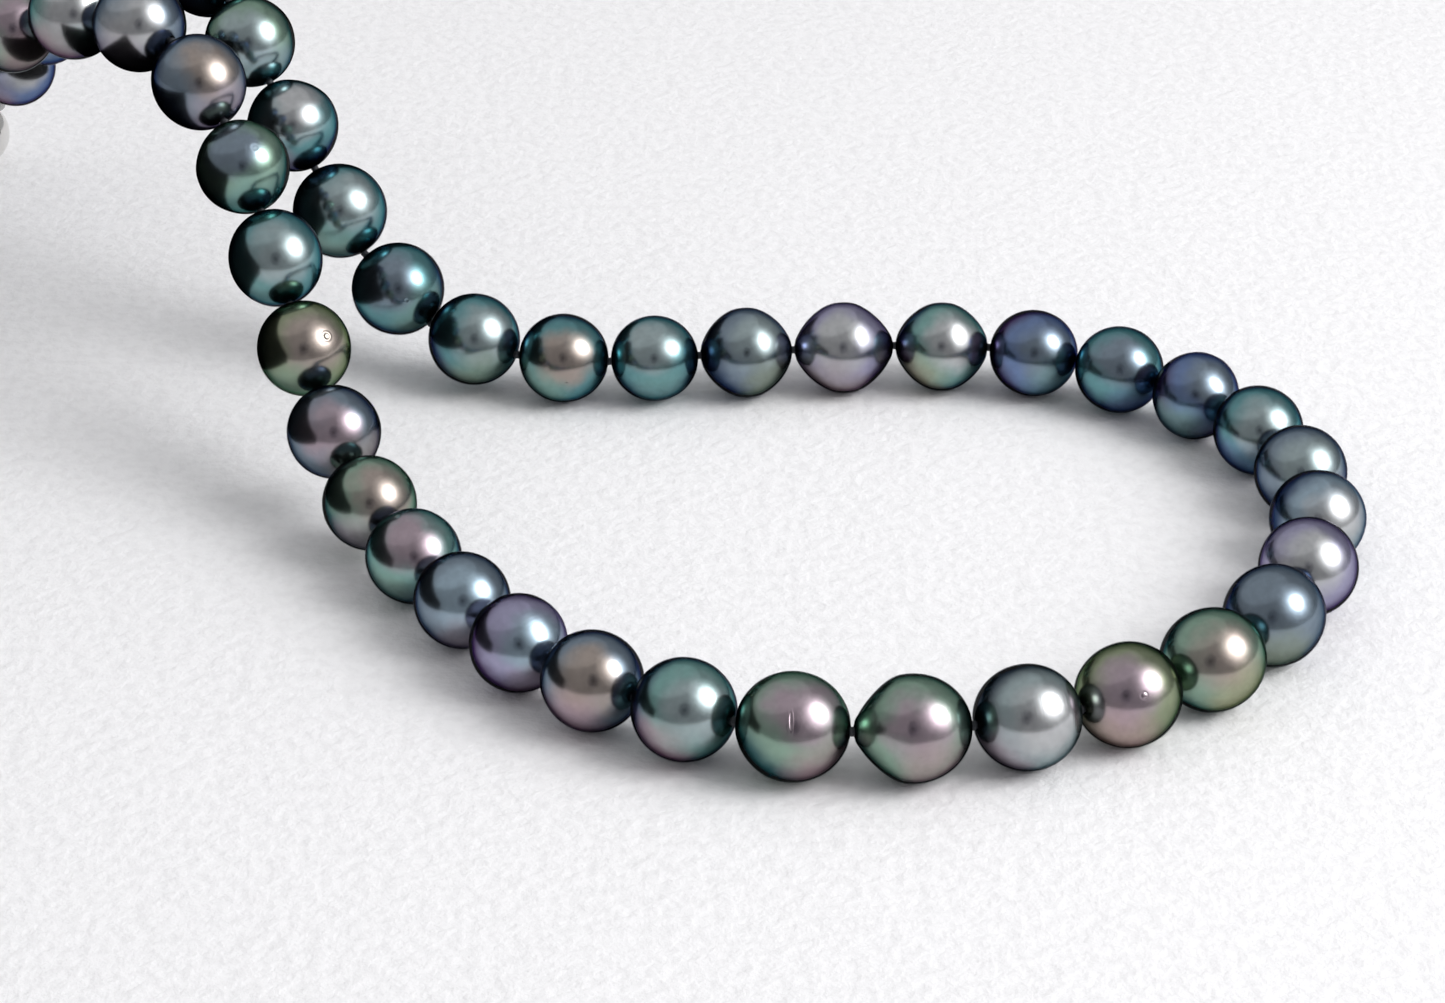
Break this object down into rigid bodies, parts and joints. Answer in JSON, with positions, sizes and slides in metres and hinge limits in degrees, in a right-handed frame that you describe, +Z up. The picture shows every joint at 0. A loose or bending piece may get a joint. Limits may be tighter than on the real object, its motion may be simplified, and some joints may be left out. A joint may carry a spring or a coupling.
{
  "type": "pearl necklace",
  "caption": "Knotted strand of dark round and oval pearls on silk, lying in a loop with both ends raised, with an undone ball clasp.",
  "frame": {"origin": "on the floor under the middle of the whole strand as it lies", "axes": "+Z up, +X along the longest way of the strand, from the raised ends towards the bend of the loop, +Y away from the front of the loop"},
  "size_m": [0.1804, 0.1496, 0.0465],
  "materials": {
    "nacre": "glossy dark nacre, green, blue and aubergine overtones",
    "silk": "waxed dark silk thread",
    "white_gold": "polished white gold"
  },
  "bodies": {
    "pearl_01": {"pearl_01": "nacre"},
    "pearl_02": {"pearl_02": "nacre"},
    "pearl_03": {"pearl_03": "nacre"},
    "pearl_04": {"pearl_04": "nacre"},
    "pearl_05": {"pearl_05": "nacre"},
    "pearl_06": {"pearl_06": "nacre"},
    "pearl_07": {"pearl_07": "nacre"},
    "pearl_08": {"pearl_08": "nacre"},
    "pearl_09": {"pearl_09": "nacre"},
    "pearl_10": {"pearl_10": "nacre"},
    "pearl_11": {"pearl_11": "nacre"},
    "pearl_12": {"pearl_12": "nacre"},
    "pearl_13": {"pearl_13": "nacre"},
    "pearl_14": {"pearl_14": "nacre"},
    "pearl_15": {"pearl_15": "nacre"},
    "pearl_16": {"pearl_16": "nacre"},
    "pearl_17": {"pearl_17": "nacre"},
    "pearl_18": {"pearl_18": "nacre"},
    "pearl_19": {"pearl_19": "nacre"},
    "pearl_20": {"pearl_20": "nacre"},
    "pearl_21": {"pearl_21": "nacre"},
    "pearl_22": {"pearl_22": "nacre"},
    "pearl_23": {"pearl_23": "nacre"},
    "pearl_24": {"pearl_24": "nacre"},
    "pearl_25": {"pearl_25": "nacre"},
    "pearl_26": {"pearl_26": "nacre"},
    "pearl_27": {"pearl_27": "nacre"},
    "pearl_28": {"pearl_28": "nacre"},
    "pearl_29": {"pearl_29": "nacre"},
    "pearl_30": {"pearl_30": "nacre"},
    "pearl_31": {"pearl_31": "nacre"},
    "pearl_32": {"pearl_32": "nacre"},
    "pearl_33": {"pearl_33": "nacre"},
    "pearl_34": {"pearl_34": "nacre"},
    "pearl_35": {"pearl_35": "nacre"},
    "pearl_36": {"pearl_36": "nacre"},
    "pearl_37": {"pearl_37": "nacre"},
    "pearl_38": {"pearl_38": "nacre"},
    "pearl_39": {"pearl_39": "nacre"},
    "pearl_40": {"pearl_40": "nacre"},
    "pearl_41": {"pearl_41": "nacre"},
    "pearl_42": {"pearl_42": "nacre"},
    "pearl_43": {"pearl_43": "nacre"},
    "pearl_44": {"pearl_44": "nacre"},
    "pearl_45": {"pearl_45": "nacre"},
    "pearl_46": {"pearl_46": "nacre"},
    "pearl_47": {"pearl_47": "nacre"},
    "tongue_loop": {"tongue_loop_french_wire": "white_gold", "tongue_loop_silk": "silk"},
    "ball_loop": {"ball_loop_french_wire": "white_gold", "ball_loop_silk": "silk"},
    "clasp_tongue": {"clasp_tongue_eye": "white_gold", "clasp_tongue_collar": "white_gold", "clasp_tongue_fixed_leaf": "white_gold"},
    "clasp_spring_leaf": {"clasp_spring_leaf": "white_gold", "clasp_thumb_piece": "white_gold"},
    "clasp_ball": {"clasp_ball_eye": "white_gold", "clasp_ball_back_cup": "white_gold", "clasp_ball_front_cup": "white_gold", "clasp_ball_mouth_plate": "white_gold"}
  },
  "joints": [
    {"name": "knot_20_21_swing", "type": "hinge", "parent": "pearl_20", "child": "pearl_21", "pos_m": [0.04809, -0.06914, 0.00515], "axis": [0, 0, -1], "range_deg": [0, 24]},
    {"name": "knot_21_22_lift", "type": "hinge", "parent": "pearl_21", "child": "pearl_22", "pos_m": [0.05826, -0.06615, 0.00505], "axis": [0.4921, -0.8705, 0], "range_deg": [0, 20]},
    {"name": "knot_22_23_swing", "type": "hinge", "parent": "pearl_22", "child": "pearl_23", "pos_m": [0.06764, -0.06085, 0.00504], "axis": [0, 0, -1], "range_deg": [0, 24]},
    {"name": "knot_23_24_lift", "type": "hinge", "parent": "pearl_23", "child": "pearl_24", "pos_m": [0.07556, -0.05329, 0.00502], "axis": [0.8475, -0.5307, 0], "range_deg": [0, 12]},
    {"name": "knot_24_25_swing", "type": "hinge", "parent": "pearl_24", "child": "pearl_25", "pos_m": [0.0813, -0.04412, 0.00501], "axis": [0, 0, -1], "range_deg": [0, 24]},
    {"name": "knot_25_26_lift", "type": "hinge", "parent": "pearl_25", "child": "pearl_26", "pos_m": [0.08475, -0.0342, 0.005], "axis": [0.995, -0.0994, 0], "range_deg": [0, 15]},
    {"name": "knot_26_27_swing", "type": "hinge", "parent": "pearl_26", "child": "pearl_27", "pos_m": [0.08578, -0.02392, 0.00492], "axis": [0, 0, -1], "range_deg": [0, 24]},
    {"name": "knot_27_28_lift", "type": "hinge", "parent": "pearl_27", "child": "pearl_28", "pos_m": [0.08387, -0.01393, 0.00483], "axis": [0.8844, 0.4668, 0], "range_deg": [0, 20]},
    {"name": "knot_28_29_swing", "type": "hinge", "parent": "pearl_28", "child": "pearl_29", "pos_m": [0.0792, -0.00509, 0.00475], "axis": [0, 0, -1], "range_deg": [0, 24]},
    {"name": "knot_29_30_lift", "type": "hinge", "parent": "pearl_29", "child": "pearl_30", "pos_m": [0.07233, 0.00217, 0.00475], "axis": [0.5174, 0.8557, 0], "range_deg": [0, 20]},
    {"name": "knot_30_31_swing", "type": "hinge", "parent": "pearl_30", "child": "pearl_31", "pos_m": [0.06377, 0.00735, 0.00475], "axis": [0, 0, -1], "range_deg": [0, 24]},
    {"name": "knot_31_32_lift", "type": "hinge", "parent": "pearl_31", "child": "pearl_32", "pos_m": [0.05411, 0.00992, 0.00487], "axis": [0.0179, 0.9998, 0], "range_deg": [0, 20]},
    {"name": "knot_32_33_swing", "type": "hinge", "parent": "pearl_32", "child": "pearl_33", "pos_m": [0.04366, 0.0101, 0.005], "axis": [0, 0, -1], "range_deg": [0, 24]},
    {"name": "knot_33_34_lift", "type": "hinge", "parent": "pearl_33", "child": "pearl_34", "pos_m": [0.03251, 0.00907, 0.005], "axis": [-0.1209, 0.9927, 0], "range_deg": [0, 20]},
    {"name": "knot_34_35_swing", "type": "hinge", "parent": "pearl_34", "child": "pearl_35", "pos_m": [0.02219, 0.00781, 0.00495], "axis": [0, 0, -1], "range_deg": [0, 24]},
    {"name": "knot_35_36_lift", "type": "hinge", "parent": "pearl_35", "child": "pearl_36", "pos_m": [0.01237, 0.00652, 0.00487], "axis": [0.1218, 0.9925, 0], "range_deg": [0, 20]},
    {"name": "knot_36_37_swing", "type": "hinge", "parent": "pearl_36", "child": "pearl_37", "pos_m": [0.0022, 0.00777, 0.00505], "axis": [0, 0, -1], "range_deg": [0, 15]},
    {"name": "knot_37_38_swing", "type": "hinge", "parent": "pearl_37", "child": "pearl_38", "pos_m": [-0.00741, 0.01187, 0.00681], "axis": [0, 0, -1], "range_deg": [0, 12]},
    {"name": "knot_38_39_lift", "type": "hinge", "parent": "pearl_38", "child": "pearl_39", "pos_m": [-0.01481, 0.01621, 0.01329], "axis": [0.5999, 0.8, 0], "range_deg": [0, 18]},
    {"name": "knot_39_40_swing", "type": "hinge", "parent": "pearl_39", "child": "pearl_40", "pos_m": [-0.0203, 0.02032, 0.02176], "axis": [0.0769, 0.0708, -0.9945], "range_deg": [0, 24]},
    {"name": "knot_40_41_lift", "type": "hinge", "parent": "pearl_40", "child": "pearl_41", "pos_m": [-0.02517, 0.02377, 0.03058], "axis": [0.7803, 0.6255, 0], "range_deg": [0, 20]},
    {"name": "knot_41_42_swing", "type": "hinge", "parent": "pearl_41", "child": "pearl_42", "pos_m": [-0.0298, 0.02954, 0.03789], "axis": [0.0796, 0.0678, -0.9945], "range_deg": [0, 24]},
    {"name": "knot_42_43_lift", "type": "hinge", "parent": "pearl_42", "child": "pearl_43", "pos_m": [-0.03541, 0.03755, 0.04133], "axis": [0.7527, 0.6584, 0], "range_deg": [0, 20]},
    {"name": "knot_43_44_swing", "type": "hinge", "parent": "pearl_43", "child": "pearl_44", "pos_m": [-0.04214, 0.04523, 0.03978], "axis": [0.0745, 0.0733, -0.9945], "range_deg": [0, 24]},
    {"name": "knot_44_45_lift", "type": "hinge", "parent": "pearl_44", "child": "pearl_45", "pos_m": [-0.04818, 0.05151, 0.03428], "axis": [0.7038, 0.7104, 0], "range_deg": [0, 20]},
    {"name": "knot_45_46_swing", "type": "hinge", "parent": "pearl_45", "child": "pearl_46", "pos_m": [-0.05331, 0.05659, 0.02698], "axis": [0.074, 0.0739, -0.9945], "range_deg": [0, 24]},
    {"name": "knot_46_47_lift", "type": "hinge", "parent": "pearl_46", "child": "pearl_47", "pos_m": [-0.05826, 0.06155, 0.01952], "axis": [0.708, 0.7062, 0], "range_deg": [0, 20]},
    {"name": "ball_loop_swing", "type": "hinge", "parent": "pearl_47", "child": "ball_loop", "pos_m": [-0.06322, 0.06652, 0.01212], "axis": [0.074, 0.0738, -0.9945], "range_deg": [0, 24]},
    {"name": "knot_19_20_swing", "type": "hinge", "parent": "pearl_20", "child": "pearl_19", "pos_m": [0.03674, -0.07029, 0.0052], "axis": [0, 0, 1], "range_deg": [0, 24]},
    {"name": "knot_18_19_lift", "type": "hinge", "parent": "pearl_19", "child": "pearl_18", "pos_m": [0.02578, -0.06856, 0.0052], "axis": [0.4471, 0.8945, 0], "range_deg": [0, 20]},
    {"name": "knot_17_18_swing", "type": "hinge", "parent": "pearl_18", "child": "pearl_17", "pos_m": [0.01648, -0.06391, 0.00495], "axis": [0, 0, 1], "range_deg": [0, 24]},
    {"name": "knot_16_17_lift", "type": "hinge", "parent": "pearl_17", "child": "pearl_16", "pos_m": [0.00828, -0.05768, 0.0049], "axis": [0.7753, 0.6316, 0], "range_deg": [0, 20]},
    {"name": "knot_15_16_swing", "type": "hinge", "parent": "pearl_16", "child": "pearl_15", "pos_m": [0.00184, -0.04977, 0.00485], "axis": [0, 0, 1], "range_deg": [0, 24]},
    {"name": "knot_14_15_lift", "type": "hinge", "parent": "pearl_15", "child": "pearl_14", "pos_m": [-0.00345, -0.04116, 0.00482], "axis": [0.8433, 0.5375, 0], "range_deg": [0, 20]},
    {"name": "knot_13_14_swing", "type": "hinge", "parent": "pearl_14", "child": "pearl_13", "pos_m": [-0.0089, -0.03262, 0.00504], "axis": [0, 0, 1], "range_deg": [0, 24]},
    {"name": "knot_12_13_lift", "type": "hinge", "parent": "pearl_13", "child": "pearl_12", "pos_m": [-0.01347, -0.02389, 0.00753], "axis": [0.9086, 0.4176, 0], "range_deg": [0, 18]},
    {"name": "knot_11_12_swing", "type": "hinge", "parent": "pearl_12", "child": "pearl_11", "pos_m": [-0.0172, -0.01579, 0.01249], "axis": [0.0784, 0.0692, 0.9945], "range_deg": [0, 24]},
    {"name": "knot_10_11_lift", "type": "hinge", "parent": "pearl_11", "child": "pearl_10", "pos_m": [-0.02045, -0.00868, 0.01919], "axis": [0.8996, 0.4367, 0], "range_deg": [0, 20]},
    {"name": "knot_09_10_swing", "type": "hinge", "parent": "pearl_10", "child": "pearl_09", "pos_m": [-0.02373, -0.00192, 0.02674], "axis": [0.0693, 0.0782, 0.9945], "range_deg": [0, 24]},
    {"name": "knot_08_09_lift", "type": "hinge", "parent": "pearl_09", "child": "pearl_08", "pos_m": [-0.02773, 0.00373, 0.0345], "axis": [0.7375, 0.6753, 0], "range_deg": [0, 20]},
    {"name": "knot_07_08_lift", "type": "hinge", "parent": "pearl_08", "child": "pearl_07", "pos_m": [-0.03353, 0.01006, 0.04097], "axis": [0.655, 0.7556, 0], "range_deg": [0, 20]},
    {"name": "knot_06_07_swing", "type": "hinge", "parent": "pearl_07", "child": "pearl_06", "pos_m": [-0.04143, 0.01691, 0.04198], "axis": [0.0594, 0.086, 0.9945], "range_deg": [0, 17]},
    {"name": "knot_05_06_lift", "type": "hinge", "parent": "pearl_06", "child": "pearl_05", "pos_m": [-0.04945, 0.02236, 0.03853], "axis": [0.5527, 0.8334, 0], "range_deg": [0, 20]},
    {"name": "knot_04_05_swing", "type": "hinge", "parent": "pearl_05", "child": "pearl_04", "pos_m": [-0.05712, 0.02745, 0.03437], "axis": [0.061, 0.0849, 0.9945], "range_deg": [0, 24]},
    {"name": "knot_03_04_lift", "type": "hinge", "parent": "pearl_04", "child": "pearl_03", "pos_m": [-0.06455, 0.03252, 0.02977], "axis": [0.5919, 0.806, 0], "range_deg": [0, 20]},
    {"name": "knot_02_03_swing", "type": "hinge", "parent": "pearl_03", "child": "pearl_02", "pos_m": [-0.07126, 0.03745, 0.02405], "axis": [0.064, 0.0827, 0.9945], "range_deg": [0, 24]},
    {"name": "knot_01_02_lift", "type": "hinge", "parent": "pearl_02", "child": "pearl_01", "pos_m": [-0.07718, 0.04205, 0.01729], "axis": [0.6085, 0.7935, 0], "range_deg": [0, 20]},
    {"name": "tongue_loop_swing", "type": "hinge", "parent": "pearl_01", "child": "tongue_loop", "pos_m": [-0.08346, 0.04686, 0.01101], "axis": [0.0636, 0.0829, 0.9945], "range_deg": [0, 24]},
    {"name": "clasp_ball_turn", "type": "hinge", "parent": "ball_loop", "child": "clasp_ball", "pos_m": [-0.06475, 0.06805, 0.00925], "axis": [-0.5639, 0.5654, 0.602], "range_deg": [-35, 35]},
    {"name": "clasp_tongue_turn", "type": "hinge", "parent": "tongue_loop", "child": "clasp_tongue", "pos_m": [-0.08506, 0.04809, 0.00803], "axis": [-0.6579, 0.5045, 0.5592], "range_deg": [-35, 35]},
    {"name": "clasp_spring_press", "type": "hinge", "parent": "clasp_tongue", "child": "clasp_spring_leaf", "pos_m": [-0.08905, 0.05115, 0.00083], "axis": [-0.6085, -0.7935, 0], "range_deg": [-5, 0], "stiffness_Nm_per_rad": 0.02}
  ]
}
